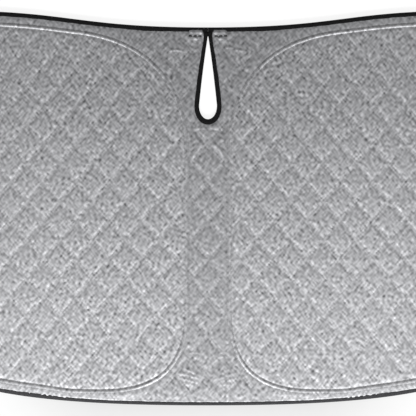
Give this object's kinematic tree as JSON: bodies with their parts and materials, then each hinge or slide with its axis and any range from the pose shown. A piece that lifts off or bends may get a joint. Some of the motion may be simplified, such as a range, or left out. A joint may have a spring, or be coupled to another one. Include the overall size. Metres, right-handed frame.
{
  "type": "windshield sun shade",
  "caption": "Folding quilted silver sun shade for a car windscreen, with a bound edge, a teardrop slot for the rear-view mirror's stem and a wire hoop sewn into each half.",
  "frame": {"origin": "middle of the shade's width and height, on the flat surface that its back lies on", "axes": "+X along the shade's width, +Y towards the edge with the mirror slot, +Z out of the silver face"},
  "size_m": [1.6, 0.8542, 0.0131],
  "materials": {
    "silver_quilted_laminate": "satin",
    "black_binding_tape": "matte",
    "black_channel_tape": "matte",
    "spring_steel_wire": "satin",
    "zinc_plated_ferrule": "satin",
    "hook_and_loop_tape": "matte"
  },
  "bodies": {
    "root": {"quilted_panel": "silver_quilted_laminate", "edge_binding": "black_binding_tape", "slot_binding": "black_binding_tape", "left_wire_hoop": "spring_steel_wire", "right_wire_hoop": "spring_steel_wire", "left_hoop_ferrule": "zinc_plated_ferrule", "right_hoop_ferrule": "zinc_plated_ferrule", "left_hoop_sleeve": "black_channel_tape", "right_hoop_sleeve": "black_channel_tape", "hook_tab": "hook_and_loop_tape", "loop_tab": "hook_and_loop_tape"}
  },
  "joints": []
}
